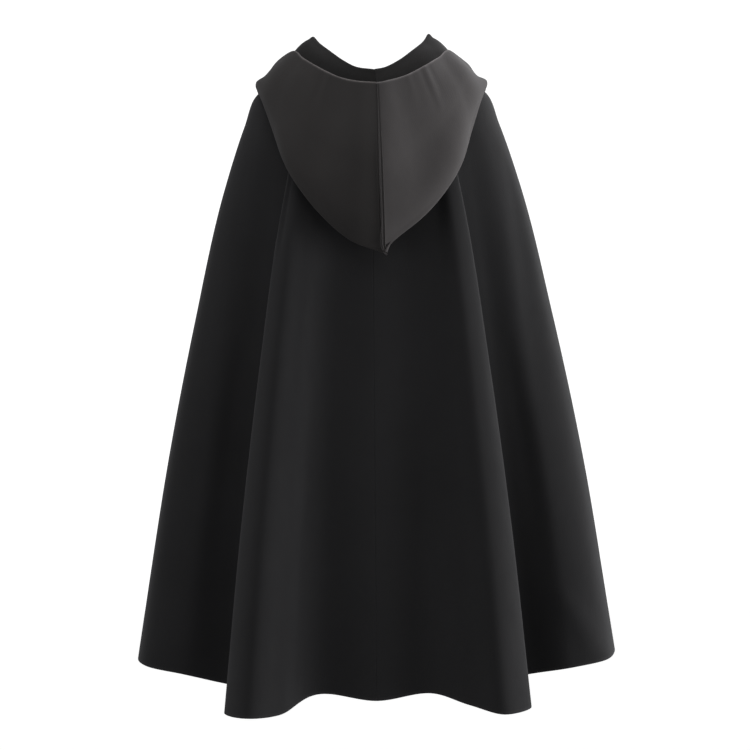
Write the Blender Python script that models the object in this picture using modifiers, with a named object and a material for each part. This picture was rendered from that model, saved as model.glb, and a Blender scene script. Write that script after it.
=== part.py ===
"""Hooded wool cape coat, open and hollow, in the shape it takes on the shoulders. Metres, +Z up.

The front faces -Y and the left side is +X. The origin is the centre of the neck seam, level with
its side points, where the neck and shoulders carry the coat.
"""

import itertools
import math

import bmesh
import bpy
import numpy as np
from mathutils import Matrix

COLLECTION = "wool_cape_coat"

# Cloth
WALL = 0.0024
SEAM_GAP = 0.0003
FRONT_LAP = 0.020
LAP_COLUMNS = 2
LAP_RISE = 0.0030
HOOD_FRONT_GAP = 0.009
HOOD_STAND = 0.005
RIDGE_TURN = 0.006
FOLD_TURN = 0.008

# Button
BUTTON_RADIUS = 0.013
BUTTON_THICK = 0.0035
BUTTON_ROUND = 0.0010
BUTTON_DISH_RADIUS = 0.0085
BUTTON_DISH_DEPTH = 0.0008
BUTTON_HOLE_RADIUS = 0.0011
BUTTON_HOLE_SPACING = 0.0046
BUTTON_DROP = 0.083
BUTTON_SIDES = 32
CORNER_STEPS = 3
HOLE_SIDES = 12

WOOL_BLACK = (0.012, 0.0115, 0.0125)
HOOD_BLACK = (0.016, 0.0145, 0.0145)
HORN_BLACK = (0.010, 0.009, 0.009)

# Step of key or drop over which a slope of the cloth is measured
SLOPE_STEP = 0.0001

# Level sections of the body, from the neck seam to the hem. Each is an oval of half width `wide`,
# `back` deep behind the side points and `front` deep before them, whose height runs from z_back
# over z_side to z_front. `fold` is how far the folds of the hem have formed there, across and in
# height, and `deep` is the same for their depth. `steps` is the number of mesh rows down to the
# next section.
SECTIONS = (
    # name, drop, wide, back, front, z_back, z_side, z_front, fold, deep, steps
    ("neck", 0.000, 0.078, 0.068, 0.084, -0.025, 0.000, -0.080, 0.00, 0.00, 1),
    ("neck_turn", 0.012, 0.084, 0.073, 0.089, -0.034, -0.007, -0.088, 0.00, 0.00, 2),
    ("yoke", 0.060, 0.130, 0.088, 0.104, -0.058, -0.013, -0.108, 0.00, 0.00, 2),
    ("shoulder", 0.110, 0.170, 0.102, 0.118, -0.098, -0.031, -0.142, 0.04, 0.02, 2),
    ("blade", 0.170, 0.190, 0.112, 0.130, -0.155, -0.078, -0.195, 0.15, 0.09, 2),
    ("arm", 0.270, 0.221, 0.120, 0.140, -0.248, -0.172, -0.285, 0.34, 0.26, 3),
    ("waist", 0.470, 0.266, 0.128, 0.152, -0.434, -0.362, -0.463, 0.56, 0.50, 3),
    ("thigh", 0.720, 0.314, 0.134, 0.164, -0.667, -0.600, -0.680, 0.80, 0.76, 3),
    ("hem", 1.000, 0.357, 0.138, 0.172, -0.920, -0.880, -0.902, 1.00, 1.00, 0),
)

# Guides run down the body from the neck seam to the hem, along the crests and valleys of its folds.
# `angle` is the place on the oval, in degrees from the centre back. The hem points are those of
# the left and the right side, with x measured away from the middle. `steps` is the number of mesh
# columns on to the next guide.
GUIDES = (
    # name, angle, left hem point, right hem point, steps
    ("centre_back", 0.0, (0.000, 0.114, -0.9237), (0.000, 0.114, -0.9237), 2),
    ("back_valley", 15.0, (0.082, 0.106, -0.9148), (0.082, 0.112, -0.9139), 2),
    ("back_slope", 29.0, (0.140, 0.165, -0.9350), (0.132, 0.140, -0.9266), 2),
    ("back_crest", 34.0, (0.182, 0.190, -0.9355), (0.183, 0.170, -0.9361), 2),
    ("back_edge", 37.0, (0.2165, 0.150, -0.935), (0.2195, 0.145, -0.9318), 3),
    ("back_pleat", 43.0, (0.168, 0.062, -0.914), (0.168, 0.062, -0.907), 2),
    ("wing_inner", 50.0, (0.215, 0.048, -0.9080), (0.215, 0.048, -0.8980), 2),
    ("wing_crest", 65.0, (0.288, 0.066, -0.8905), (0.288, 0.066, -0.8845), 2),
    ("wing_outer", 79.0, (0.338, 0.052, -0.8860), (0.338, 0.052, -0.8760), 2),
    ("side", 93.0, (0.357, -0.012, -0.8850), (0.357, -0.012, -0.8715), 2),
    ("front_side", 108.0, (0.338, -0.072, -0.885), (0.338, -0.072, -0.873), 2),
    ("front_wing", 122.0, (0.290, -0.118, -0.892), (0.294, -0.114, -0.882), 2),
    ("front_pleat", 134.0, (0.232, -0.098, -0.898), (0.240, -0.102, -0.890), 3),
    ("front_flute", 147.0, (0.175, -0.196, -0.908), (0.167, -0.190, -0.902), 3),
    ("front_valley", 162.0, (0.100, -0.152, -0.900), (0.094, -0.146, -0.897), 0),
    ("centre_front", 180.0, (0.000, -0.178, -0.902), (0.000, -0.178, -0.902), 0),
)

# Sections of the left half of the hood, by the angle of the place on the neck seam that each
# starts from. The cloth stands up from the seam to a ridge, hangs down inside the hood to its
# lower fold and comes up again outside to the edge round the face. Towards the front it only
# rolls over, as a collar does, and its points lie along that roll.
HOOD_SECTIONS = (
    # angle, ridge, inner, fold, outer, edge
    (0.0, (-0.004, 0.084, -0.006), (-0.006, 0.116, -0.120), (-0.013, 0.142, -0.273),
     (-0.013, 0.192, -0.150), (-0.010, 0.157, -0.032)),
    (15.0, (0.022, 0.081, -0.002), (0.026, 0.118, -0.115), (0.032, 0.138, -0.257),
     (0.028, 0.180, -0.145), (0.020, 0.151, -0.031)),
    (30.0, (0.043, 0.073, 0.010), (0.061, 0.117, -0.092), (0.079, 0.138, -0.215),
     (0.070, 0.154, -0.118), (0.049, 0.137, -0.022)),
    (45.0, (0.062, 0.057, 0.026), (0.094, 0.108, -0.060), (0.119, 0.128, -0.158),
     (0.102, 0.132, -0.085), (0.075, 0.119, -0.007)),
    (60.0, (0.076, 0.038, 0.039), (0.114, 0.078, -0.027), (0.142, 0.097, -0.099),
     (0.128, 0.108, -0.045), (0.098, 0.094, 0.010)),
    (76.0, (0.086, 0.015, 0.051), (0.128, 0.045, 0.000), (0.160, 0.064, -0.050),
     (0.146, 0.072, -0.010), (0.116, 0.060, 0.026)),
    (92.0, (0.089, -0.012, 0.046), (0.130, 0.000, 0.012), (0.170, 0.012, -0.024),
     (0.160, 0.004, -0.006), (0.148, -0.005, 0.011)),
    (112.0, (0.084, -0.048, 0.026), (0.122, -0.045, -0.008), (0.160, -0.052, -0.038),
     (0.157, -0.060, -0.041), (0.152, -0.068, -0.040)),
    (135.0, (0.066, -0.075, 0.000), (0.088, -0.092, -0.020), (0.100, -0.101, -0.045),
     (0.107, -0.105, -0.066), (0.112, -0.108, -0.084)),
    (157.0, (0.038, -0.092, -0.030), (0.047, -0.103, -0.045), (0.053, -0.111, -0.065),
     (0.057, -0.116, -0.085), (0.060, -0.120, -0.104)),
    (178.5, (0.008, -0.096, -0.062), (0.009, -0.100, -0.064), (0.010, -0.103, -0.069),
     (0.011, -0.105, -0.074), (0.012, -0.106, -0.080)),
)
# Mesh rows between neighbouring points of a hood section: seam, stand, ridge (before, at, past),
# inner, fold (before, at, past), outer, edge.
HOOD_STEPS = (1, 1, 1, 1, 3, 3, 2, 2, 3, 2)


def smooth(keys, rows, at):
    """Cubic curve through the rows at their keys, read at every value of `at`."""
    keys = np.asarray(keys, float)
    rows = np.asarray(rows, float)
    slopes = np.gradient(rows, keys, axis=0)
    i = np.clip(np.searchsorted(keys, at, side="right") - 1, 0, len(keys) - 2)
    columns = (...,) + (None,) * (rows.ndim - 1)
    step = (keys[i + 1] - keys[i])[columns]
    f = (np.asarray(at) - keys[i])[columns] / step
    rise = ease(f)
    bend = slopes[i] * f * (1 - f) ** 2 + slopes[i + 1] * f * f * (f - 1)
    return rows[i] * (1 - rise) + rows[i + 1] * rise + step * bend


def ease(f):
    return f * f * (3 - 2 * f)


def unit(vectors):
    return vectors / np.linalg.norm(vectors, axis=-1, keepdims=True)


def places(keys, steps):
    """Every key, with the given number of even steps from each one to the next."""
    between = [np.linspace(a, b, n, endpoint=False) for a, b, n in zip(keys, keys[1:], steps)]
    return np.append(np.concatenate(between), keys[-1])


def guide_ring():
    """Keys and rows (angle, hem point) of the guides from the right centre front, over the centre
    back, to the left centre front, with the next guides of the other front past each end.

    A key is the distance along the hem from the centre back, more than 0 on the left."""
    left = [(angle, *point) for _, angle, point, _, _ in GUIDES]
    right = [(-angle, -x, y, z) for _, angle, _, (x, y, z), _ in GUIDES]
    past_left = [(angle + 360, *point) for angle, *point in right[-2 : -2 - RING_EXTRA : -1]]
    past_right = [(angle - 360, *point) for angle, *point in left[-1 - RING_EXTRA : -1]]
    rows = np.array([*past_right, *right[:0:-1], *left, *past_left])
    chords = np.linalg.norm(np.diff(rows[:, 1:], axis=0), axis=1)
    keys = np.append(0, np.cumsum(chords))
    return keys - keys[RING_MIDDLE], rows


RING_EXTRA = 2
RING_MIDDLE = RING_EXTRA + len(GUIDES) - 1
RING_KEYS, RING_ROWS = guide_ring()
SECTION_DROPS = [row[1] for row in SECTIONS]
SECTION_ROWS = [row[2:10] for row in SECTIONS]


def guide_key(side, name):
    """Key of a guide on the left (1) or the right (-1) side."""
    index = [row[0] for row in GUIDES].index(name)
    return RING_KEYS[RING_MIDDLE + side * index]


def oval(angle, section):
    """Point at an angle on each level section, without folds."""
    wide, back, front, z_back, z_side, z_front = np.moveaxis(section[..., :6], -1, 0)
    across = np.sin(np.radians(angle))
    along = np.cos(np.radians(angle))
    depth = np.where(along > 0, back, front)
    z_end = np.where(along > 0, z_back, z_front)
    return np.stack([wide * across, depth * along, z_side + (z_end - z_side) * along**2], axis=-1)


def hanging(key, drop):
    """Middle of the body cloth at ring keys and drops, both fronts level at the centre front."""
    guide = smooth(RING_KEYS, RING_ROWS, key)
    section = smooth(SECTION_DROPS, SECTION_ROWS, drop)
    hem = oval(guide[..., 0], smooth(SECTION_DROPS, SECTION_ROWS, np.ones_like(drop)))
    growth = section[..., [6, 7, 6]]
    return oval(guide[..., 0], section) + growth * (guide[..., 1:] - hem)


def outward(surface, key, place):
    """Unit normal of a surface, away from the hollow of the body."""
    across = surface(key + SLOPE_STEP, place) - surface(key - SLOPE_STEP, place)
    down = surface(key, place + SLOPE_STEP) - surface(key, place - SLOPE_STEP)
    return unit(np.cross(across, down))


def body(key, drop):
    """Middle of the body cloth, with the right front risen to lie over the left one."""
    low = guide_key(-1, "front_flute")
    high = guide_key(-1, "front_valley")
    rise = ease(np.clip((key - low) / (high - low), 0, 1))
    return hanging(key, drop) + LAP_RISE * rise[..., None] * outward(hanging, key, drop)


def side_keys(side, drops):
    """Ring keys of the mesh columns of one side, from the centre back to the end of its lap over
    the centre front, in a row for each column. Near the centre front the columns are equally far
    apart all the way down, and the same on both fronts."""
    guides = [row[0] for row in GUIDES[:-1]]
    keys = places([guide_key(side, name) for name in guides], [row[4] for row in GUIDES[:-2]])
    centre = np.full_like(drops, guide_key(side, "centre_front"))
    across = hanging(centre + SLOPE_STEP, drops) - hanging(centre - SLOPE_STEP, drops)
    stretch = np.linalg.norm(across, axis=1) / (2 * SLOPE_STEP)
    laps = np.linspace(-FRONT_LAP, FRONT_LAP, 2 * LAP_COLUMNS + 1)[:, None]
    near = centre + side * laps / stretch
    between = (keys[-1] + near[:1]) / 2
    return np.concatenate([np.repeat(keys[:, None], len(drops), axis=1), between, near])


def turned(before, at, after, size):
    """A point where the cloth turns, with one on each side of it that rounds the turn."""
    back = unit(before - at)
    on = unit(after - at)
    across = size * unit(on - back)
    up = size * (back + on) * np.linalg.norm(back + on, axis=-1, keepdims=True) / 4
    return at + up - across, at, at + up + across


def hood(key, place):
    """Middle of the hood cloth at ring keys and places, in rows of one place. A place counts the
    points of the section, from 0 at the neck seam."""
    key = key[:, 0]
    angles = [row[0] for row in HOOD_SECTIONS]
    left = np.array([points for _, *points in HOOD_SECTIONS])
    right = left * (-1, 1, 1)
    right[0] = left[0]
    angle = smooth(RING_KEYS, RING_ROWS[:, 0], key)
    on_left = (angle >= 0)[:, None, None]
    lines = np.where(on_left, smooth(angles, left, angle), smooth(angles, right, -angle))
    ridge, inner, fold, outer, edge = np.moveaxis(lines, 1, 0)
    neck = body(key, np.zeros_like(key))
    stand = unit(neck - body(key, np.full_like(key, SLOPE_STEP)))
    upright = neck + stand * HOOD_STAND
    points = np.array([
        neck,
        upright,
        *turned(upright, ridge, inner, RIDGE_TURN),
        inner,
        *turned(inner, fold, outer, FOLD_TURN),
        outer,
        edge,
    ])
    lengths = np.cumsum(np.linalg.norm(np.diff(points, axis=0, prepend=points[:1]), axis=2), axis=0)
    counts = np.arange(len(points))
    columns = [
        smooth(length, column, np.interp(row, counts, length))
        for length, column, row in zip(lengths.T, np.moveaxis(points, 1, 0), place)
    ]
    return np.array(columns)


def seam_cut(grid, first, last, top):
    """The grid with its first column, last column or top row moved in by half of a seam's gap."""
    grid = grid.copy()
    edges = ((first, np.s_[0], np.s_[1]), (last, np.s_[-1], np.s_[-2]), (top, np.s_[:, 0], np.s_[:, 1]))
    for chosen, edge, inside in edges:
        if chosen:
            grid[edge] += unit(grid[inside] - grid[edge]) * SEAM_GAP / 2
    return grid


def finish(name, colour, roughness):
    material = bpy.data.materials.new(name)
    material.use_nodes = True
    shader = material.node_tree.nodes["Principled BSDF"]
    shader.inputs["Base Color"].default_value = (*colour, 1)
    shader.inputs["Roughness"].default_value = roughness
    shader.inputs["Metallic"].default_value = 0
    return material


def add_object(name, mesh, collection):
    obj = bpy.data.objects.new(name, mesh)
    collection.objects.link(obj)
    return obj


def wall_mesh(name, grid, normals):
    """Closed wall that has half of its thickness on each side of a grid of points."""
    bm = bmesh.new()
    outer = [[bm.verts.new(point) for point in column] for column in grid + normals * WALL / 2]
    inner = [[bm.verts.new(point) for point in column] for column in grid - normals * WALL / 2]
    across = range(len(grid))
    down = range(len(grid[0]))
    for i, j in itertools.product(across[:-1], down[:-1]):
        corners = ((i, j), (i + 1, j), (i + 1, j + 1), (i, j + 1))
        bm.faces.new([outer[column][row] for column, row in corners])
        bm.faces.new([inner[column][row] for column, row in reversed(corners)])
    border = [(i, 0) for i in across] + [(across[-1], j) for j in down[1:]]
    border += [(i, down[-1]) for i in across[-2::-1]] + [(0, j) for j in down[-2:0:-1]]
    for (i, j), (k, m) in zip(border, border[1:] + border[:1]):
        bm.faces.new((outer[k][m], outer[i][j], inner[i][j], inner[k][m]))
    mesh = bpy.data.meshes.new(name)
    bm.to_mesh(mesh)
    bm.free()
    mesh.shade_smooth()
    mesh.set_sharp_from_angle(angle=math.radians(50))
    return mesh


def cloth(name, surface, keys, places_down, seams, colour, collection):
    """A cloth piece over some columns and rows of a surface. `seams` says whether its first column,
    its last column and its top row are sewn to other pieces."""
    mesh = wall_mesh(name, seam_cut(surface(keys, places_down), *seams), outward(surface, keys, places_down))
    mesh.materials.append(finish(name + "_wool", colour, 0.9))
    add_object(name, mesh, collection)


def button_profile():
    """Half section of the button, from the middle of its dished face round to that of its back."""
    top = BUTTON_THICK / 2
    dish = top - BUTTON_DISH_DEPTH
    points = [(0, 0, dish), (BUTTON_DISH_RADIUS, 0, dish), (BUTTON_DISH_RADIUS + BUTTON_DISH_DEPTH, 0, top)]
    for middle, first, last in ((top - BUTTON_ROUND, 90, 0), (BUTTON_ROUND - top, 0, -90)):
        for turn in np.radians(np.linspace(first, last, CORNER_STEPS + 1)):
            radius = BUTTON_RADIUS - BUTTON_ROUND * (1 - math.cos(turn))
            points.append((radius, 0, middle + BUTTON_ROUND * math.sin(turn)))
    return points + [(0, 0, -top)]


def button_holes(collection):
    bm = bmesh.new()
    for across, up in itertools.product((-1, 1), repeat=2):
        half = BUTTON_HOLE_SPACING / 2
        bmesh.ops.create_cone(
            bm, cap_ends=True, segments=HOLE_SIDES, radius1=BUTTON_HOLE_RADIUS,
            radius2=BUTTON_HOLE_RADIUS, depth=2 * BUTTON_THICK,
            matrix=Matrix.Translation((across * half, up * half, 0)),
        )
    mesh = bpy.data.meshes.new("button_holes")
    bm.to_mesh(mesh)
    bm.free()
    holes = add_object("button_holes", mesh, collection)
    holes.hide_render = True
    holes.display_type = "WIRE"
    return holes


def button(collection, cutters):
    """Four-hole button on the outer face of the right front, on the centre front line."""
    points = button_profile()
    mesh = bpy.data.meshes.new("button")
    mesh.from_pydata(points, [(i, i + 1) for i in range(len(points) - 1)], [])
    mesh.materials.append(finish("button_horn", HORN_BLACK, 0.35))
    piece = add_object("button", mesh, collection)
    turn = piece.modifiers.new("turn", "SCREW")
    turn.steps = BUTTON_SIDES
    turn.render_steps = BUTTON_SIDES
    turn.use_merge_vertices = True
    turn.merge_threshold = 0.00001
    holes = button_holes(cutters)
    holes.parent = piece
    cut = piece.modifiers.new("holes", "BOOLEAN")
    cut.object = holes
    key = np.array([guide_key(-1, "centre_front")])
    drop = np.array([BUTTON_DROP])
    out = outward(body, key, drop)[0]
    piece.location = body(key, drop)[0] + out * (WALL / 2 + SEAM_GAP + BUTTON_THICK / 2)
    piece.rotation_euler.x = math.atan2(-out[1], out[2])


def main():
    for obj in list(bpy.data.objects):
        bpy.data.objects.remove(obj, do_unlink=True)
    collection = bpy.data.collections.new(COLLECTION)
    cutters = bpy.data.collections.new(COLLECTION + "_cutters")
    bpy.context.scene.collection.children.link(collection)
    bpy.context.scene.collection.children.link(cutters)

    drops = places(SECTION_DROPS, [row[10] for row in SECTIONS[:-1]])
    right_keys = side_keys(-1, drops)
    keys = np.concatenate([right_keys[:0:-1], side_keys(1, drops)])
    drops = np.broadcast_to(drops, keys.shape)
    middle = len(right_keys) - 1
    to_seam = sum(row[4] for row in GUIDES[:[row[0] for row in GUIDES].index("side")])
    right, left = middle - to_seam, middle + to_seam
    for name, first, last, seams in (
        ("front_right", 0, right, (False, True, True)),
        ("back_right", right, middle, (True, True, True)),
        ("back_left", middle, left, (True, True, True)),
        ("front_left", left, len(keys) - 1, (True, False, True)),
    ):
        span = slice(first, last + 1)
        cloth(name, body, keys[span], drops[span], seams, WOOL_BLACK, collection)

    rows = places(range(len(HOOD_STEPS) + 1), HOOD_STEPS)
    columns = keys[LAP_COLUMNS:-LAP_COLUMNS, 0]
    columns[0] += HOOD_FRONT_GAP
    columns[-1] -= HOOD_FRONT_GAP
    middle -= LAP_COLUMNS
    for name, span, seams in (
        ("hood_right", slice(0, middle + 1), (False, True, True)),
        ("hood_left", slice(middle, None), (True, False, True)),
    ):
        hood_keys = np.repeat(columns[span, None], len(rows), axis=1)
        cloth(name, hood, hood_keys, np.broadcast_to(rows, hood_keys.shape), seams, HOOD_BLACK, collection)

    button(collection, cutters)


main()
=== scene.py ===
import itertools
import math

import bpy
import numpy as np
from mathutils import Matrix, Vector


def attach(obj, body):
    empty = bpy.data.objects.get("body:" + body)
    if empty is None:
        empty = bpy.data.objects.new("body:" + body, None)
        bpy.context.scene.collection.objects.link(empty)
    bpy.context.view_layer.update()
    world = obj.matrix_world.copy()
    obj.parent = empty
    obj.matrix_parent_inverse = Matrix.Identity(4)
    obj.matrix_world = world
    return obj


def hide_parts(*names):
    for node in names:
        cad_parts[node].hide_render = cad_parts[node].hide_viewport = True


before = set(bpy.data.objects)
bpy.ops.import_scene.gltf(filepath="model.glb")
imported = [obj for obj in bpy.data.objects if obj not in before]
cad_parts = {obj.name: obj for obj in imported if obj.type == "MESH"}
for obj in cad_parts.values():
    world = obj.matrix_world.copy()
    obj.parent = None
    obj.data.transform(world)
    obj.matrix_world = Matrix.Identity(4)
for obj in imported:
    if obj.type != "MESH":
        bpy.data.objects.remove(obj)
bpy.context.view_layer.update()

# The cloth's shape, with the same values and formulas as the CAD source
WALL = 0.0024
SEAM_GAP = 0.0003
FRONT_LAP = 0.020
LAP_RISE = 0.0030
HOOD_FRONT_GAP = 0.009
HOOD_STAND = 0.005
RIDGE_TURN = 0.006
FOLD_TURN = 0.008

BUTTON_THICK = 0.0035
BUTTON_DISH_DEPTH = 0.0008
BUTTON_HOLE_SPACING = 0.0046
BUTTON_DROP = 0.083

SLOPE_STEP = 0.0001

SECTIONS = (
    # drop, wide, back, front, z_back, z_side, z_front, fold, deep
    (0.000, 0.078, 0.068, 0.084, -0.025, 0.000, -0.080, 0.00, 0.00),
    (0.012, 0.084, 0.073, 0.089, -0.034, -0.007, -0.088, 0.00, 0.00),
    (0.060, 0.130, 0.088, 0.104, -0.058, -0.013, -0.108, 0.00, 0.00),
    (0.110, 0.170, 0.102, 0.118, -0.098, -0.031, -0.142, 0.04, 0.02),
    (0.170, 0.190, 0.112, 0.130, -0.155, -0.078, -0.195, 0.15, 0.09),
    (0.270, 0.221, 0.120, 0.140, -0.248, -0.172, -0.285, 0.34, 0.26),
    (0.470, 0.266, 0.128, 0.152, -0.434, -0.362, -0.463, 0.56, 0.50),
    (0.720, 0.314, 0.134, 0.164, -0.667, -0.600, -0.680, 0.80, 0.76),
    (1.000, 0.357, 0.138, 0.172, -0.920, -0.880, -0.902, 1.00, 1.00),
)

GUIDES = (
    # name, angle, left hem point, right hem point
    ("centre_back", 0.0, (0.000, 0.114, -0.9237), (0.000, 0.114, -0.9237)),
    ("back_valley", 15.0, (0.082, 0.106, -0.9148), (0.082, 0.112, -0.9139)),
    ("back_slope", 29.0, (0.140, 0.165, -0.9350), (0.132, 0.140, -0.9266)),
    ("back_crest", 34.0, (0.182, 0.190, -0.9355), (0.183, 0.170, -0.9361)),
    ("back_edge", 37.0, (0.2165, 0.150, -0.935), (0.2195, 0.145, -0.9318)),
    ("back_pleat", 43.0, (0.168, 0.062, -0.914), (0.168, 0.062, -0.907)),
    ("wing_inner", 50.0, (0.215, 0.048, -0.9080), (0.215, 0.048, -0.8980)),
    ("wing_crest", 65.0, (0.288, 0.066, -0.8905), (0.288, 0.066, -0.8845)),
    ("wing_outer", 79.0, (0.338, 0.052, -0.8860), (0.338, 0.052, -0.8760)),
    ("side", 93.0, (0.357, -0.012, -0.8850), (0.357, -0.012, -0.8715)),
    ("front_side", 108.0, (0.338, -0.072, -0.885), (0.338, -0.072, -0.873)),
    ("front_wing", 122.0, (0.290, -0.118, -0.892), (0.294, -0.114, -0.882)),
    ("front_pleat", 134.0, (0.232, -0.098, -0.898), (0.240, -0.102, -0.890)),
    ("front_flute", 147.0, (0.175, -0.196, -0.908), (0.167, -0.190, -0.902)),
    ("front_valley", 162.0, (0.100, -0.152, -0.900), (0.094, -0.146, -0.897)),
    ("centre_front", 180.0, (0.000, -0.178, -0.902), (0.000, -0.178, -0.902)),
)

HOOD_SECTIONS = (
    # angle, ridge, inner, fold, outer, edge
    (0.0, (-0.004, 0.084, -0.006), (-0.006, 0.116, -0.120), (-0.013, 0.142, -0.273),
     (-0.013, 0.192, -0.150), (-0.010, 0.157, -0.032)),
    (15.0, (0.022, 0.081, -0.002), (0.026, 0.118, -0.115), (0.032, 0.138, -0.257),
     (0.028, 0.180, -0.145), (0.020, 0.151, -0.031)),
    (30.0, (0.043, 0.073, 0.010), (0.061, 0.117, -0.092), (0.079, 0.138, -0.215),
     (0.070, 0.154, -0.118), (0.049, 0.137, -0.022)),
    (45.0, (0.062, 0.057, 0.026), (0.094, 0.108, -0.060), (0.119, 0.128, -0.158),
     (0.102, 0.132, -0.085), (0.075, 0.119, -0.007)),
    (60.0, (0.076, 0.038, 0.039), (0.114, 0.078, -0.027), (0.142, 0.097, -0.099),
     (0.128, 0.108, -0.045), (0.098, 0.094, 0.010)),
    (76.0, (0.086, 0.015, 0.051), (0.128, 0.045, 0.000), (0.160, 0.064, -0.050),
     (0.146, 0.072, -0.010), (0.116, 0.060, 0.026)),
    (92.0, (0.089, -0.012, 0.046), (0.130, 0.000, 0.012), (0.170, 0.012, -0.024),
     (0.160, 0.004, -0.006), (0.148, -0.005, 0.011)),
    (112.0, (0.084, -0.048, 0.026), (0.122, -0.045, -0.008), (0.160, -0.052, -0.038),
     (0.157, -0.060, -0.041), (0.152, -0.068, -0.040)),
    (135.0, (0.066, -0.075, 0.000), (0.088, -0.092, -0.020), (0.100, -0.101, -0.045),
     (0.107, -0.105, -0.066), (0.112, -0.108, -0.084)),
    (157.0, (0.038, -0.092, -0.030), (0.047, -0.103, -0.045), (0.053, -0.111, -0.065),
     (0.057, -0.116, -0.085), (0.060, -0.120, -0.104)),
    (178.5, (0.008, -0.096, -0.062), (0.009, -0.100, -0.064), (0.010, -0.103, -0.069),
     (0.011, -0.105, -0.074), (0.012, -0.106, -0.080)),
)


def smooth(keys, rows, at):
    """Cubic curve through the rows at their keys, read at every value of `at`."""
    keys = np.asarray(keys, float)
    rows = np.asarray(rows, float)
    slopes = np.gradient(rows, keys, axis=0)
    i = np.clip(np.searchsorted(keys, at, side="right") - 1, 0, len(keys) - 2)
    columns = (...,) + (None,) * (rows.ndim - 1)
    step = (keys[i + 1] - keys[i])[columns]
    f = (np.asarray(at) - keys[i])[columns] / step
    rise = ease(f)
    bend = slopes[i] * f * (1 - f) ** 2 + slopes[i + 1] * f * f * (f - 1)
    return rows[i] * (1 - rise) + rows[i + 1] * rise + step * bend


def ease(f):
    return f * f * (3 - 2 * f)


def unit(vectors):
    return vectors / np.linalg.norm(vectors, axis=-1, keepdims=True)


def guide_ring():
    left = [(angle, *point) for _, angle, point, _ in GUIDES]
    right = [(-angle, -x, y, z) for _, angle, _, (x, y, z) in GUIDES]
    past_left = [(angle + 360, *point) for angle, *point in right[-2:-4:-1]]
    past_right = [(angle - 360, *point) for angle, *point in left[-3:-1]]
    rows = np.array([*past_right, *right[:0:-1], *left, *past_left])
    chords = np.linalg.norm(np.diff(rows[:, 1:], axis=0), axis=1)
    keys = np.append(0, np.cumsum(chords))
    return keys - keys[RING_MIDDLE], rows


RING_MIDDLE = 2 + len(GUIDES) - 1
RING_KEYS, RING_ROWS = guide_ring()
SECTION_DROPS = [row[0] for row in SECTIONS]
SECTION_ROWS = [row[1:] for row in SECTIONS]


def guide_key(side, name):
    index = [row[0] for row in GUIDES].index(name)
    return RING_KEYS[RING_MIDDLE + side * index]


def oval(angle, section):
    wide, back, front, z_back, z_side, z_front = np.moveaxis(section[..., :6], -1, 0)
    across = np.sin(np.radians(angle))
    along = np.cos(np.radians(angle))
    depth = np.where(along > 0, back, front)
    z_end = np.where(along > 0, z_back, z_front)
    return np.stack([wide * across, depth * along, z_side + (z_end - z_side) * along**2], axis=-1)


def hanging(key, drop):
    guide = smooth(RING_KEYS, RING_ROWS, key)
    section = smooth(SECTION_DROPS, SECTION_ROWS, drop)
    hem = oval(guide[..., 0], smooth(SECTION_DROPS, SECTION_ROWS, np.ones_like(drop)))
    growth = section[..., [6, 7, 6]]
    return oval(guide[..., 0], section) + growth * (guide[..., 1:] - hem)


def outward(surface, key, place):
    across = surface(key + SLOPE_STEP, place) - surface(key - SLOPE_STEP, place)
    down = surface(key, place + SLOPE_STEP) - surface(key, place - SLOPE_STEP)
    return unit(np.cross(across, down))


def body(key, drop):
    low = guide_key(-1, "front_flute")
    high = guide_key(-1, "front_valley")
    rise = ease(np.clip((key - low) / (high - low), 0, 1))
    return hanging(key, drop) + LAP_RISE * rise[..., None] * outward(hanging, key, drop)


def turned(before, at, after, size):
    back = unit(before - at)
    on = unit(after - at)
    across = size * unit(on - back)
    up = size * (back + on) * np.linalg.norm(back + on, axis=-1, keepdims=True) / 4
    return at + up - across, at, at + up + across


def hood(key, place):
    key = key[:, 0]
    angles = [row[0] for row in HOOD_SECTIONS]
    left = np.array([points for _, *points in HOOD_SECTIONS])
    right = left * (-1, 1, 1)
    right[0] = left[0]
    angle = smooth(RING_KEYS, RING_ROWS[:, 0], key)
    on_left = (angle >= 0)[:, None, None]
    lines = np.where(on_left, smooth(angles, left, angle), smooth(angles, right, -angle))
    ridge, inner, fold, outer, edge = np.moveaxis(lines, 1, 0)
    neck = body(key, np.zeros_like(key))
    stand = unit(neck - body(key, np.full_like(key, SLOPE_STEP)))
    upright = neck + stand * HOOD_STAND
    points = np.array([
        neck,
        upright,
        *turned(upright, ridge, inner, RIDGE_TURN),
        inner,
        *turned(inner, fold, outer, FOLD_TURN),
        outer,
        edge,
    ])
    lengths = np.cumsum(np.linalg.norm(np.diff(points, axis=0, prepend=points[:1]), axis=2), axis=0)
    counts = np.arange(len(points))
    columns = [
        smooth(length, column, np.interp(row, counts, length))
        for length, column, row in zip(lengths.T, np.moveaxis(points, 1, 0), place)
    ]
    return np.array(columns)


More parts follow.
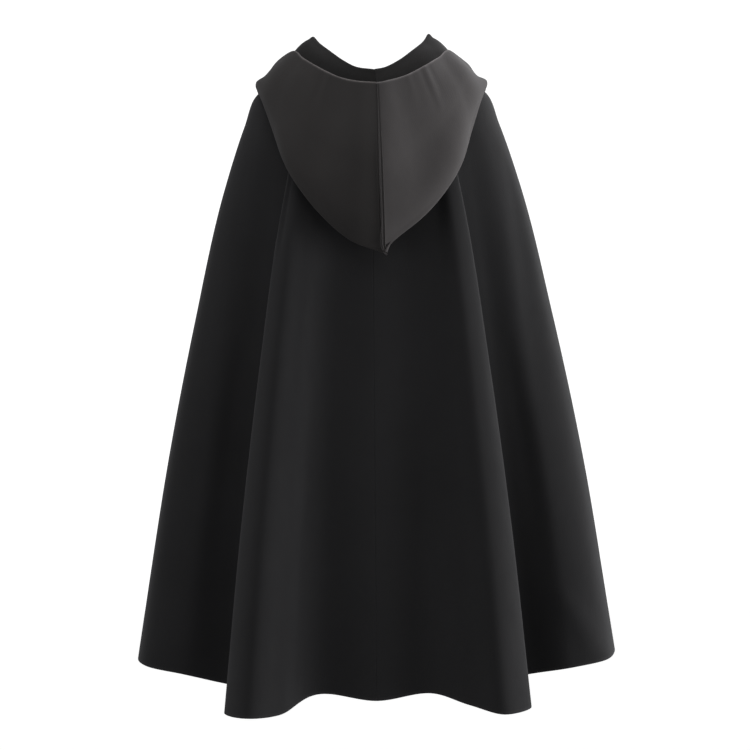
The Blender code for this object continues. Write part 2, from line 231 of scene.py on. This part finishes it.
# Soft creases. Each runs from a first to a last point: key and share of the way down
# on the body, angle and place along the section on the hood. The width is in key or in degrees,
# and the height in metres is less than 0 for a trough.
BODY_CREASES = (
    # first point, last point, width, height
    ((0.248, 0.185), (0.246, 0.310), 0.0080, -0.0016),
    ((0.266, 0.190), (0.262, 0.330), 0.0090, 0.0015),
    ((0.285, 0.200), (0.282, 0.300), 0.0080, -0.0010),
    ((0.200, 0.200), (0.212, 1.300), 0.0420, 0.0045),
    ((0.112, 0.240), (0.108, 1.300), 0.0420, -0.0045),
    ((0.150, 0.340), (0.178, 0.760), 0.0200, 0.0014),
    ((0.118, 0.520), (0.140, 1.050), 0.0160, -0.0012),
    ((0.060, 0.500), (0.040, 0.900), 0.0450, 0.0018),
    ((-0.035, 0.360), (-0.080, 0.820), 0.0360, -0.0015),
    ((-0.150, 0.330), (-0.165, 0.700), 0.0220, 0.0016),
    ((-0.120, 0.620), (-0.175, 1.060), 0.0200, -0.0018),
    ((-0.228, 0.420), (-0.226, 0.900), 0.0160, 0.0012),
    ((-0.470, 0.880), (-0.535, 1.040), 0.0220, 0.0034),
    ((-0.430, 0.480), (-0.455, 0.980), 0.0200, -0.0022),
    ((-0.510, 0.220), (-0.480, 0.620), 0.0240, -0.0026),
    ((-0.560, 0.300), (-0.575, 0.860), 0.0200, 0.0008),
    ((0.455, 0.460), (0.470, 1.040), 0.0220, -0.0024),
    ((0.520, 0.200), (0.500, 0.700), 0.0240, 0.0018),
    ((0.585, 0.420), (0.600, 0.980), 0.0200, -0.0008),
    ((0.640, 0.160), (0.660, 0.620), 0.0240, -0.0026),
    ((0.700, 0.340), (0.690, 0.940), 0.0260, 0.0026),
    ((0.770, 0.120), (0.745, 0.480), 0.0220, -0.0024),
    ((0.880, 0.140), (0.850, 0.520), 0.0260, 0.0026),
    ((0.960, 0.240), (0.945, 0.800), 0.0220, -0.0022),
    ((1.050, 0.160), (1.030, 0.480), 0.0200, -0.0018),
    ((-0.625, 0.180), (-0.640, 0.560), 0.0240, -0.0022),
    ((-0.680, 0.360), (-0.700, 1.020), 0.0260, 0.0028),
    ((-0.750, 0.130), (-0.720, 0.420), 0.0220, 0.0022),
    ((-0.840, 0.160), (-0.815, 0.600), 0.0240, -0.0026),
    ((-0.930, 0.200), (-0.905, 0.660), 0.0260, 0.0024),
    ((-1.010, 0.110), (-0.985, 0.430), 0.0200, -0.0020),
)
HOOD_CREASES = (
    # first point, last point, width, height
    ((-2.0, 10.9), (-5.0, 6.0), 13.0, 0.0085),
    ((-43.0, 10.7), (-46.0, 6.2), 15.0, -0.0065),
    ((-22.0, 10.3), (-31.0, 7.4), 5.0, 0.0014),
    ((-62.0, 10.2), (-66.0, 7.0), 9.0, 0.0016),
    ((-40.0, 10.5), (-42.0, 9.2), 1.5, 0.0009),
    ((-43.5, 10.5), (-45.0, 9.1), 1.4, -0.0008),
    ((-47.0, 10.5), (-49.0, 9.3), 1.5, 0.0007),
    ((-31.0, 10.5), (-31.5, 9.4), 1.6, -0.0006),
    ((24.0, 10.4), (34.0, 7.0), 9.0, 0.0022),
    ((44.0, 10.3), (50.0, 6.8), 9.0, -0.0022),
    ((64.0, 9.9), (70.0, 6.8), 8.0, 0.0016),
    ((35.0, 10.5), (36.5, 9.3), 1.6, -0.0006),
    ((39.0, 10.5), (41.0, 9.2), 1.7, 0.0007),
    ((2.3, 10.6), (2.2, 5.4), 0.30, -0.0007),
    ((1.1, 10.6), (1.1, 5.4), 0.75, 0.0006),
)
CREASE_START = 0.75             # width of a crease at its first point, as a share of its own
CREASE_GROWTH = 0.5             # how much of that share it gains on the way
CREASE_SWELL = 0.8              # how soon it reaches its height: less is sooner

# Where the hem hangs a little higher, and the drop from which it starts to
HEM_LIFTS = (
    # key, height, half width
    (0.610, 0.0105, 0.085),
    (-0.585, 0.0050, 0.045),
)
HEM_LIFT_START = 0.75

# The ridge's peaks at the sides, where 1 is the left one
HOOD_PEAKS = (
    # side, angle, height, half width in degrees
    (1, 76.0, 0.0022, 4.0),
    (-1, 75.0, 0.0050, 5.0),
)
PEAK_PLACE = 3.0
PEAK_REACH = 0.9

# Soft lifts of the hood. The first two keep the fold clear of the shoulders, and the last two
# straighten the edge where it goes over them.
HOOD_LIFTS = (
    # side, angle, place, height, half widths in degrees and in places
    (1, 87.0, 5.9, 0.0026, 13.0, 1.0),
    (-1, 87.0, 5.9, 0.0026, 13.0, 1.0),
    (1, 84.0, 9.4, -0.0015, 8.0, 1.0),
    (-1, 84.0, 9.4, -0.0060, 8.0, 1.0),
)

HOOD_TIP = (0.0080, 0.0, 0.0120)   # how far the tip hangs to the right and down
TIP_PLACE = 6.2                 # where it is along the section
TIP_REACH = 1.6                 # how far along the section the pull is felt
TIP_WIDTH = 11.0                # the same round the hood, in degrees

# Painted shade on the inside of the hood's nape layer: from and to which places it shows, and to
# which angle
SHADED_INSIDE_FIRST = (2.6, 0.8)
SHADED_INSIDE_LAST = (6.6, 0.6)
SHADED_INSIDE_FRONT = (112.0, 30.0)

# Fine cloth
EDGE_LINES = (0.0, 0.0003, 0.0008, 0.0016)   # lines of the mesh that round an edge or a seam
BODY_COLUMNS = 108
BODY_ROWS = 190
RIM_KINDS = {
    # how far in from a rim its rounding reaches, and the share of the thickness it takes off
    "open": (0.0012, 0.85),
    "seam": (0.0010, 0.35),
    "deep": (0.0016, 0.80),
}
WORN_AND_LIT_WIDTH = 0.0018             # how far in from an edge the cloth is lighter: partly wear, partly a painted highlight
HEM_BAND = (0.036, 0.0016)      # how wide and thick the cloth turned in along the hem is
NO_BAND = (0.0, 0.0)
BAND_STEP = 0.0015              # how softly the band's own edge shows
ALLOWANCE = (0.013, 0.0009)     # the same for the cloth pressed open inside along a seam
ALLOWANCE_STEP = 0.0012
SEAM_DIP = 0.002                # how far from the seam the allowance reaches its full thickness

# Buttonhole and threads
HOLE_MIDDLE = 0.011             # middle of the buttonhole, from the centre front
HOLE_LENGTH = 0.032
HOLE_HALF = 0.0018
HOLE_SQUARE = 0.35              # how square its ends are: less is squarer
STITCH_RADIUS = 0.00075
STITCH_BUMP = 0.00022           # how far each stitch swells
STITCH_COUNT = 44
STITCH_LIFT = 0.0002            # gap of the stitches' middle line to the cloth
STITCH_POINTS = 161
STITCH_SIDES = 10
BODY_LENGTH = 0.9               # metres of cloth from the neck to the hem, near enough here
STRAND_POINTS = 15
STRAND_SIDES = 8
STRAND_RADIUS = 0.00042
STRAND_RISE = 0.00055           # how far the button's thread stands up between two holes
STRAND_SINK = 0.0011            # how far it goes down into them
TUBE_START = (0.3, 0.5, 0.8)    # a direction that no thread runs along


def distance(grid, axis, from_end):
    """How far each point of a grid is from the first or last line, along the grid."""
    steps = np.linalg.norm(np.diff(grid, axis=axis), axis=2)
    if from_end:
        steps = np.flip(steps, axis)
    total = np.cumsum(steps, axis=axis)
    total = np.insert(total, 0, 0, axis=axis)
    return np.flip(total, axis) if from_end else total


def rim_profile(far, kind):
    """Share of the wall's half thickness at a distance from a rim."""
    reach, depth = RIM_KINDS[kind]
    s = np.clip(far / reach, 0, 1)
    return 1 - depth * (1 - np.sqrt(1 - (1 - s) ** 2))


def creased(keys, places, creases):
    """Height of the creases at each point of a grid of keys and places."""
    height = np.zeros(keys.shape)
    for (first_key, first_place), (last_key, last_place), width, size in creases:
        along = (places - first_place) / (last_place - first_place)
        middle = first_key + (last_key - first_key) * along
        wide = width * (CREASE_START + CREASE_GROWTH * np.clip(along, 0, 1))
        swell = np.clip(4 * along * (1 - along), 0, 1) ** CREASE_SWELL
        height += size * swell * bell(keys - middle, wide)
    return height


def bell(off, width):
    """1 where `off` is 0, and less on both sides of it."""
    return np.exp(-((off / width) ** 2))


def step_up(past, width):
    """0 up to where `past` is 0, then softly up to 1 over the width."""
    return ease(np.clip(past / width, 0, 1))


def shell(name, grid, normals, edges, band, allowances, inside, material):
    """A closed cloth shell about a grid, lighter along its last row: partly wear, partly a painted
    highlight.

    `edges` are the kinds of its first and last column and its first and last row, `band` is how
    wide and thick the cloth turned in along the last row is, and `allowances` says which of its
    first and last columns have a seam allowance inside. `inside` is 1 where the cloth is darkened
    with painted shade."""
    share = np.ones(grid.shape[:2])
    borders = [distance(grid, axis, from_end) for axis in (0, 1) for from_end in (False, True)]
    for far, kind in zip(borders, edges):
        share = share * rim_profile(far, kind)
    turned_in = band[1] * step_up(band[0] - borders[3], BAND_STEP)
    for far, sewn in zip(borders, allowances):
        if sewn:
            strip = ALLOWANCE[1] * step_up(ALLOWANCE[0] - far, ALLOWANCE_STEP)
            turned_in = turned_in + strip * step_up(far, SEAM_DIP)
    outer = grid + normals * (WALL / 2 * share)[..., None]
    inner = grid - normals * ((WALL / 2 + turned_in) * share)[..., None]
    across, down = grid.shape[:2]
    count = across * down
    index = np.arange(count).reshape(across, down)
    a, b, c, d = index[:-1, :-1], index[1:, :-1], index[1:, 1:], index[:-1, 1:]
    faces_out = np.stack([a, b, c, d], axis=-1).reshape(-1, 4)
    faces_in = np.stack([d, c, b, a], axis=-1).reshape(-1, 4) + count
    border = np.concatenate([index[:, 0], index[-1, 1:], index[-2::-1, -1], index[0, -2:0:-1]])
    following = np.roll(border, -1)
    rim = np.stack([following, border, border + count, following + count], axis=-1)
    faces = np.concatenate([faces_out, faces_in, rim])
    points = np.concatenate([outer.reshape(-1, 3), inner.reshape(-1, 3)])
    mesh = bpy.data.meshes.new(name)
    mesh.from_pydata(points.tolist(), [], faces.tolist())
    mesh.polygons.foreach_set("use_smooth", np.arange(len(faces)) < len(faces) - len(rim))
    # edge: lighter towards the last row, partly wear and partly a painted highlight
    marks = {"edge": bell(borders[3], WORN_AND_LIT_WIDTH), "inside": inside * np.ones(share.shape)}
    for mark_name, values in marks.items():
        mark = mesh.attributes.new(mark_name, "FLOAT", "POINT")
        mark.data.foreach_set("value", np.tile(values.ravel(), 2).astype(np.float32))
    mesh.materials.append(material)
    return add_piece(name, mesh)


def add_piece(name, mesh):
    piece = bpy.data.objects.new(name, mesh)
    bpy.context.scene.collection.objects.link(piece)
    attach(piece, "root")
    return piece


def ring_faces(rings, sides):
    """Faces that join rings of points, one after the other."""
    faces = []
    for low in range(0, (rings - 1) * sides, sides):
        high = low + sides
        for i in range(sides):
            k = (i + 1) % sides
            faces.append((low + i, low + k, high + k, high + i))
    return faces


def tube(points, radii, sides):
    """Points and faces of a closed tube along a line of points, with a radius at each."""
    points = np.asarray(points, float)
    along = unit(np.gradient(points, axis=0))
    frames = []
    side = unit(np.cross(along[0], TUBE_START))
    for direction in along:
        side = unit(side - direction * np.dot(side, direction))
        frames.append((side, np.cross(direction, side)))
    turns = np.linspace(0, 2 * math.pi, sides, endpoint=False)
    rings = [
        point + radius * (np.cos(turns)[:, None] * u + np.sin(turns)[:, None] * v)
        for point, radius, (u, v) in zip(points, radii, frames)
    ]
    faces = ring_faces(len(rings), sides)
    faces.append(tuple(range(sides))[::-1])
    faces.append(tuple((len(rings) - 1) * sides + i for i in range(sides)))
    return np.concatenate(rings), faces


def tubes(name, lines, sides, material):
    """One piece of several tubes, each a line of points with its radii."""
    points = []
    faces = []
    for line, radii in lines:
        tube_points, tube_faces = tube(line, radii, sides)
        faces += [tuple(len(points) + i for i in face) for face in tube_faces]
        points += tube_points.tolist()
    mesh = bpy.data.meshes.new(name)
    mesh.from_pydata(points, [], faces)
    mesh.shade_smooth()
    mesh.materials.append(material)
    return add_piece(name, mesh)


def body_rows():
    """Drops from the neck to the hem, close together at both ends."""
    near = np.array(EDGE_LINES)
    inner = np.linspace(near[-1], 1 - near[-1], BODY_ROWS)
    return np.concatenate([near[:-1], inner, 1 - near[:-1][::-1]])


def stretch(key, drop):
    """Metres of cloth across for each unit of key."""
    across = hanging(key + SLOPE_STEP, drop) - hanging(key - SLOPE_STEP, drop)
    return np.linalg.norm(across, axis=1) / (2 * SLOPE_STEP)


def body_keys(first, last, drops):
    """Columns from one key to another, each a value or one for each row."""
    first = np.broadcast_to(first, drops.shape)
    last = np.broadcast_to(last, drops.shape)
    near = np.array(EDGE_LINES)[:, None]
    start = first + near / stretch(first, drops)
    end = last - near / stretch(last, drops)
    inner = np.linspace(start[-1], end[-1], BODY_COLUMNS)
    return np.concatenate([start[:-1], inner, end[:-1][::-1]])


def lap_key(side, drops):
    """Key of the free edge of a front, past the centre front by the lap."""
    centre = np.full_like(drops, guide_key(side, "centre_front"))
    return centre + side * FRONT_LAP / stretch(centre, drops)


# Materials
WOOL_NOISES = (
    # scale, detail, stretch down: the broad mottle, the nap and the fibres
    (9.0, 4, 1.00),
    (70.0, 5, 0.45),
    (900.0, 3, 0.60),
)
TONE_SHARES = (0.45, 0.35, 0.20)   # of the mottle, the nap and the fibres
BUMP_SHARES = (0.90, 0.50, 0.15)   # of the nap, the fibres and the twill
INSIDE_PAINTED_SHADE = 0.30            # how light the painted shade on the hood's inside is, of the darker colour


def put(node, values):
    """Sets the named inputs of a node."""
    for name, value in values.items():
        node.inputs[name].default_value = value


def new_material(name):
    material = bpy.data.materials.new(name)
    material.use_nodes = True
    nodes = material.node_tree.nodes
    return material, nodes, material.node_tree.links, nodes["Principled BSDF"]


def mixed(nodes, links, factor, first, last):
    """A colour between two, each a colour or another node's output."""
    node = nodes.new("ShaderNodeMix")
    node.data_type = "RGBA"
    links.new(factor, node.inputs[0])
    for socket, colour in zip(node.inputs[6:8], (first, last)):
        if isinstance(colour, tuple):
            socket.default_value = (*colour, 1)
        else:
            links.new(colour, socket)
    return node.outputs[2]


def wool(name, dark, light, sheen, worn_and_lit_by):
    """Felted wool: a mottled black with fine fibres, a faint twill and a soft nap.

    The last argument is how many times lighter than `light` the cloth is along its last row: partly
    wear, and partly a painted highlight on the edge."""
    material, nodes, links, shader = new_material(name)
    place = nodes.new("ShaderNodeTexCoord").outputs["Object"]

    def math_of(kind, a, b):
        node = nodes.new("ShaderNodeMath")
        node.operation = kind
        for socket, value in zip(node.inputs, (a, b)):
            if isinstance(value, float):
                socket.default_value = value
            else:
                links.new(value, socket)
        return node.outputs[0]

    def mark(mark_name):
        node = nodes.new("ShaderNodeAttribute")
        node.attribute_name = mark_name
        return node.outputs["Fac"]

    def weighed(parts, shares):
        total = math_of("MULTIPLY", parts[0], shares[0])
        for part, share in zip(parts[1:], shares[1:]):
            total = math_of("ADD", total, math_of("MULTIPLY", part, share))
        return total

    noises = []
    for scale, detail, down in WOOL_NOISES:
        turn = nodes.new("ShaderNodeMapping")
        put(turn, {"Scale": (1, 1, down)})
        links.new(place, turn.inputs["Vector"])
        noise = nodes.new("ShaderNodeTexNoise")
        put(noise, {"Scale": scale, "Detail": detail, "Roughness": 0.6})
        links.new(turn.outputs["Vector"], noise.inputs["Vector"])
        noises.append(noise.outputs["Fac"])
    _, nap, fibre = noises

    spread = nodes.new("ShaderNodeMapRange")
    put(spread, {"From Min": 0.30, "From Max": 0.70})
    links.new(weighed(noises, TONE_SHARES), spread.inputs["Value"])
    colour = mixed(nodes, links, spread.outputs["Result"], dark, light)
    # Lighter along the edge: partly wear, partly a painted highlight
    worn_and_lit = math_of("MULTIPLY", mark("edge"), nap)
    colour = mixed(nodes, links, worn_and_lit, colour, tuple(worn_and_lit_by * c for c in light))
    # Painted shade: darker where the inside mark is 1, on the hood's inner face
    painted_shade = tuple(INSIDE_PAINTED_SHADE * c for c in dark)
    colour = mixed(nodes, links, mark("inside"), colour, painted_shade)
    links.new(colour, shader.inputs["Base Color"])

    rough = nodes.new("ShaderNodeMapRange")
    put(rough, {"To Min": 0.82, "To Max": 0.98})
    links.new(nap, rough.inputs["Value"])
    links.new(rough.outputs["Result"], shader.inputs["Roughness"])

    twill = nodes.new("ShaderNodeTexWave")
    twill.bands_direction = "DIAGONAL"
    put(twill, {"Scale": 160.0, "Distortion": 1.5, "Detail": 1.0})
    links.new(place, twill.inputs["Vector"])
    bump = nodes.new("ShaderNodeBump")
    put(bump, {"Strength": 0.35, "Distance": 0.0006})
    links.new(weighed((nap, fibre, twill.outputs["Fac"]), BUMP_SHARES), bump.inputs["Height"])
    links.new(bump.outputs["Normal"], shader.inputs["Normal"])
    put(shader, {
        "Specular IOR Level": 0.25,
        "Sheen Weight": sheen,
        "Sheen Roughness": 0.45,
        "Sheen Tint": (0.80, 0.80, 0.84, 1),
    })
    return material


def horn(name):
    """Black horn with brown clouds and fine scratches."""
    material, nodes, links, shader = new_material(name)
    cloud = nodes.new("ShaderNodeTexNoise")
    put(cloud, {"Scale": 160.0, "Detail": 5.0, "Distortion": 1.2})
    links.new(nodes.new("ShaderNodeTexCoord").outputs["Object"], cloud.inputs["Vector"])
    ramp = nodes.new("ShaderNodeValToRGB")
    black, brown = ramp.color_ramp.elements
    black.position = 0.35
    black.color = (0.004, 0.0038, 0.0036, 1)
    brown.position = 0.72
    brown.color = (0.024, 0.019, 0.016, 1)
    links.new(cloud.outputs["Fac"], ramp.inputs["Fac"])
    links.new(ramp.outputs["Color"], shader.inputs["Base Color"])
    scratch = nodes.new("ShaderNodeMapRange")
    put(scratch, {"To Min": 0.22, "To Max": 0.42})
    links.new(cloud.outputs["Fac"], scratch.inputs["Value"])
    links.new(scratch.outputs["Result"], shader.inputs["Roughness"])
    return material


def thread(name):
    """Black waxed thread with a fine twist."""
    material, nodes, links, shader = new_material(name)
    twist = nodes.new("ShaderNodeTexWave")
    twist.bands_direction = "DIAGONAL"
    put(twist, {"Scale": 900.0})
    links.new(nodes.new("ShaderNodeTexCoord").outputs["Object"], twist.inputs["Vector"])
    colour = mixed(nodes, links, twist.outputs["Fac"], (0.006, 0.006, 0.0065), (0.020, 0.019, 0.019))
    links.new(colour, shader.inputs["Base Color"])
    put(shader, {"Roughness": 0.55})
    return material


coat_wool = wool("coat_wool", (0.0056, 0.0055, 0.0060), (0.0092, 0.0090, 0.0100), 0.06, 2.4)
# The hood's right half is a lighter copy of the wool: painted light, for the light on that side
hood_left_wool = wool(
    "hood_left_wool", (0.0146, 0.0133, 0.0131), (0.0218, 0.0200, 0.0198), 0.06, 9.0)
hood_right_lit_wool = wool(
    "hood_right_lit_wool", (0.0296, 0.0272, 0.0274), (0.0430, 0.0398, 0.0404), 0.07, 5.0)

# The four body pieces
drops = body_rows()
for name, first, last, edges, sewn, flat, area in (
    ("front_right", lap_key(-1, drops), guide_key(-1, "side"),
     ("open", "seam", "seam", "open"), (False, True), (0.50, 1.03), 0.34),
    ("back_right", guide_key(-1, "side"), 0.0,
     ("seam", "seam", "seam", "open"), (True, True), (0.60, 1.03), 0.40),
    ("back_left", 0.0, guide_key(1, "side"),
     ("seam", "seam", "seam", "open"), (True, True), (0.62, 1.03), 0.40),
    ("front_left", guide_key(1, "side"), lap_key(1, drops),
     ("seam", "open", "seam", "open"), (True, False), (0.50, 1.03), 0.34),
):
    keys = body_keys(first, last, drops)
    rows = np.broadcast_to(drops, keys.shape)
    normals = outward(body, keys, rows)
    grid = body(keys, rows) + normals * creased(keys, rows, BODY_CREASES)[..., None]
    low = step_up(rows - HEM_LIFT_START, 1 - HEM_LIFT_START)
    for middle, height, width in HEM_LIFTS:
        grid[..., 2] += height * bell(keys - middle, width) * low
    piece = shell("coat_" + name, grid, normals, edges, HEM_BAND, sewn, 0.0, coat_wool)
    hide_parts(name)

# The two halves of the hood
HOOD_ROWS = np.unique(np.concatenate([
    # places along the section, closest together at the turns and the edge
    np.linspace(0, 2, 5),
    np.linspace(2, 4, 13),
    np.linspace(4, 6, 30),
    np.linspace(6, 8, 13),
    np.linspace(8, 9.95, 56),
    [9.97, 9.985, 9.995, 10.0],
]))
HOOD_ANGLES = np.unique(np.concatenate([
    # angles round the hood in degrees, closest together at the centre seam
    [0.05, 0.14, 0.28],
    np.linspace(0.5, 4.0, 15),
    np.linspace(4.6, 100, 82),
    np.linspace(102.5, 177.0, 31),
]))
FRONT_END_SPREAD = 3            # how much wider apart the lines at its front ends are
RING_SAMPLES = 4000
for name, side, edges, material in (
    ("hood_right", -1, ("open", "deep", "seam", "open"), hood_right_lit_wool),
    ("hood_left", 1, ("deep", "open", "seam", "open"), hood_left_wool),
):
    end = guide_key(side, "centre_front") - side * HOOD_FRONT_GAP
    ring = np.linspace(0, end, RING_SAMPLES)
    turned_by = np.abs(smooth(RING_KEYS, RING_ROWS[:, 0], ring))
    inner = np.interp(HOOD_ANGLES, turned_by, ring)
    last = end - side * FRONT_END_SPREAD * np.array(EDGE_LINES)
    line = np.sort(np.concatenate([[0.0], inner, last]))
    keys = np.repeat(line[:, None], len(HOOD_ROWS), axis=1)
    rows = np.broadcast_to(HOOD_ROWS, keys.shape)
    normals = outward(hood, keys, rows)
    angles = smooth(RING_KEYS, RING_ROWS[:, 0], keys)
    grid = hood(keys, rows) + normals * creased(angles, rows, HOOD_CREASES)[..., None]
    for at, angle, height, width in HOOD_PEAKS:
        peak = np.exp(-np.abs(at * angles - angle) / width)
        grid[..., 2] += height * peak * bell(rows - PEAK_PLACE, PEAK_REACH)
    for at, angle, place, height, width, reach in HOOD_LIFTS:
        grid[..., 2] += height * bell(at * angles - angle, width) * bell(rows - place, reach)
    tip = np.exp(-np.abs(angles) / TIP_WIDTH) * bell(rows - TIP_PLACE, TIP_REACH)
    grid -= tip[..., None] * HOOD_TIP
    # Where shade is painted, on the inside of the hood's nape layer
    inside = (
        step_up(rows - SHADED_INSIDE_FIRST[0], SHADED_INSIDE_FIRST[1])
        * step_up(SHADED_INSIDE_LAST[0] - rows, SHADED_INSIDE_LAST[1])
        * step_up(SHADED_INSIDE_FRONT[0] - np.abs(angles), SHADED_INSIDE_FRONT[1])
    )
    piece = shell("coat_" + name, grid, normals, edges, NO_BAND, (False, False), inside, material)
    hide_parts(name)

# The button, its thread and its buttonhole
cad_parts["button"].material_slots[0].material = horn("button_horn")
button_key = np.array([guide_key(-1, "centre_front")])
button_drop = np.array([BUTTON_DROP])
button_out = outward(body, button_key, button_drop)[0]
button_lift = WALL / 2 + SEAM_GAP + BUTTON_THICK / 2
button_middle = body(button_key, button_drop)[0] + button_out * button_lift
button_lean = math.atan2(-button_out[1], button_out[2])
button_place = Matrix.Translation(button_middle) @ Matrix.Rotation(button_lean, 4, "X")
half = BUTTON_HOLE_SPACING / 2
dish = BUTTON_THICK / 2 - BUTTON_DISH_DEPTH
strands = []
for up, shift in itertools.product((-1, 1), (-STRAND_RADIUS, STRAND_RADIUS)):
    line = []
    for t in np.linspace(-1, 1, STRAND_POINTS):
        rise = STRAND_RISE * math.sqrt(max(0.0, 1 - t**4)) - STRAND_SINK * t**8
        line.append(tuple(button_place @ Vector((t * half, up * half + shift, dish + rise))))
    strands.append((line, [STRAND_RADIUS] * len(line)))
tubes("button_thread", strands, STRAND_SIDES, thread("thread"))

turns = np.linspace(0, 2 * math.pi, STITCH_POINTS)
end_shape = np.sign(np.cos(turns)) * np.abs(np.cos(turns)) ** HOLE_SQUARE
slit_along = HOLE_MIDDLE + HOLE_LENGTH / 2 * end_shape
slit_down = BUTTON_DROP + HOLE_HALF * np.sin(turns) / BODY_LENGTH
slit_keys = button_key[0] + slit_along / stretch(np.full_like(turns, button_key[0]), slit_down)
slit_out = outward(body, slit_keys, slit_down)
slit = body(slit_keys, slit_down) + slit_out * (WALL / 2 + STITCH_LIFT)
radii = STITCH_RADIUS + STITCH_BUMP * np.cos(turns * STITCH_COUNT)
stitches = tubes("buttonhole_stitch", [(slit, radii)], STITCH_SIDES, thread("buttonhole_thread"))

# Stage: a pale floor that bends up into a round wall
FLOOR_Z = -1.40
FLOOR_RADIUS = 5.5
BEND_RADIUS = 2.0
BEND_STEPS = 12
WALL_TOP = 9.0
STAGE_SIDES = 96
WORLD_STRENGTH = 0.39

stage_material, nodes, links, shader = new_material("studio")
put(shader, {
    "Base Color": (0.30, 0.30, 0.30, 1),
    "Roughness": 1.0,
    "Emission Color": (1, 1, 1, 1),
    "Emission Strength": 1.0,
})
profile = [
    (FLOOR_RADIUS + BEND_RADIUS * math.sin(t), BEND_RADIUS - BEND_RADIUS * math.cos(t))
    for t in np.linspace(0, math.pi / 2, BEND_STEPS + 1)
]
profile.append((FLOOR_RADIUS + BEND_RADIUS, WALL_TOP))
points = [
    (r * math.cos(a), r * math.sin(a), FLOOR_Z + z)
    for r, z in profile
    for a in np.linspace(0, 2 * math.pi, STAGE_SIDES, endpoint=False)
]
faces = [tuple(range(STAGE_SIDES)), *ring_faces(len(profile), STAGE_SIDES)]
mesh = bpy.data.meshes.new("studio_floor")
mesh.from_pydata(points, [], faces)
mesh.shade_smooth()
mesh.materials.append(stage_material)
floor = bpy.data.objects.new("studio_floor", mesh)
bpy.context.scene.collection.objects.link(floor)
floor.visible_diffuse = False
floor.visible_glossy = False

world = bpy.data.worlds.new("studio")
bpy.context.scene.world = world
world.use_nodes = True
put(world.node_tree.nodes["Background"], {"Color": (1, 1, 1, 1), "Strength": WORLD_STRENGTH})

LAMP_TARGET = Vector((0, 0, -0.35))
LAMP_DISTANCE = 2.6
LAMP_SIZE = (1.4, 1.8)
LAMPS = (
    # name, azimuth from the camera towards the picture's right, elevation, power
    ("key_right", 79, -8, 106),
    ("rim_right", 122, 35, 46),
    ("soft_top", -30, 65, 34),
    ("soft_left", -55, 2, 14),
)
for name, azimuth, elevation, power in LAMPS:
    a, e = math.radians(azimuth), math.radians(elevation)
    away = Vector((-math.sin(a) * math.cos(e), math.cos(a) * math.cos(e), math.sin(e)))
    data = bpy.data.lights.new(name, "AREA")
    data.shape = "RECTANGLE"
    data.size, data.size_y = LAMP_SIZE
    data.energy = power
    lamp = bpy.data.objects.new(name, data)
    lamp.location = LAMP_TARGET + LAMP_DISTANCE * away
    lamp.rotation_euler = (-away).to_track_quat("-Z", "Y").to_euler()
    bpy.context.scene.collection.objects.link(lamp)

# Camera: behind the coat, level, and turned about its own axis by half a degree
CAMERA_PLACE = (-0.0015, 3.2, -0.452)
CAMERA_ROLL = -0.5
SENSOR_WIDTH = 36.0
FOCAL_PIXELS = 2133
PICTURE_WIDTH = 750

camera_data = bpy.data.cameras.new("camera")
camera_data.sensor_width = SENSOR_WIDTH
camera_data.lens = SENSOR_WIDTH * FOCAL_PIXELS / PICTURE_WIDTH
camera = bpy.data.objects.new("camera", camera_data)
camera.matrix_world = (
    Matrix.Translation(CAMERA_PLACE)
    @ Matrix.Rotation(math.pi, 4, "Z")
    @ Matrix.Rotation(math.pi / 2, 4, "X")
    @ Matrix.Rotation(math.radians(CAMERA_ROLL), 4, "Z")
)
bpy.context.scene.collection.objects.link(camera)
bpy.context.scene.camera = camera
bpy.context.scene.view_settings.view_transform = "Standard"
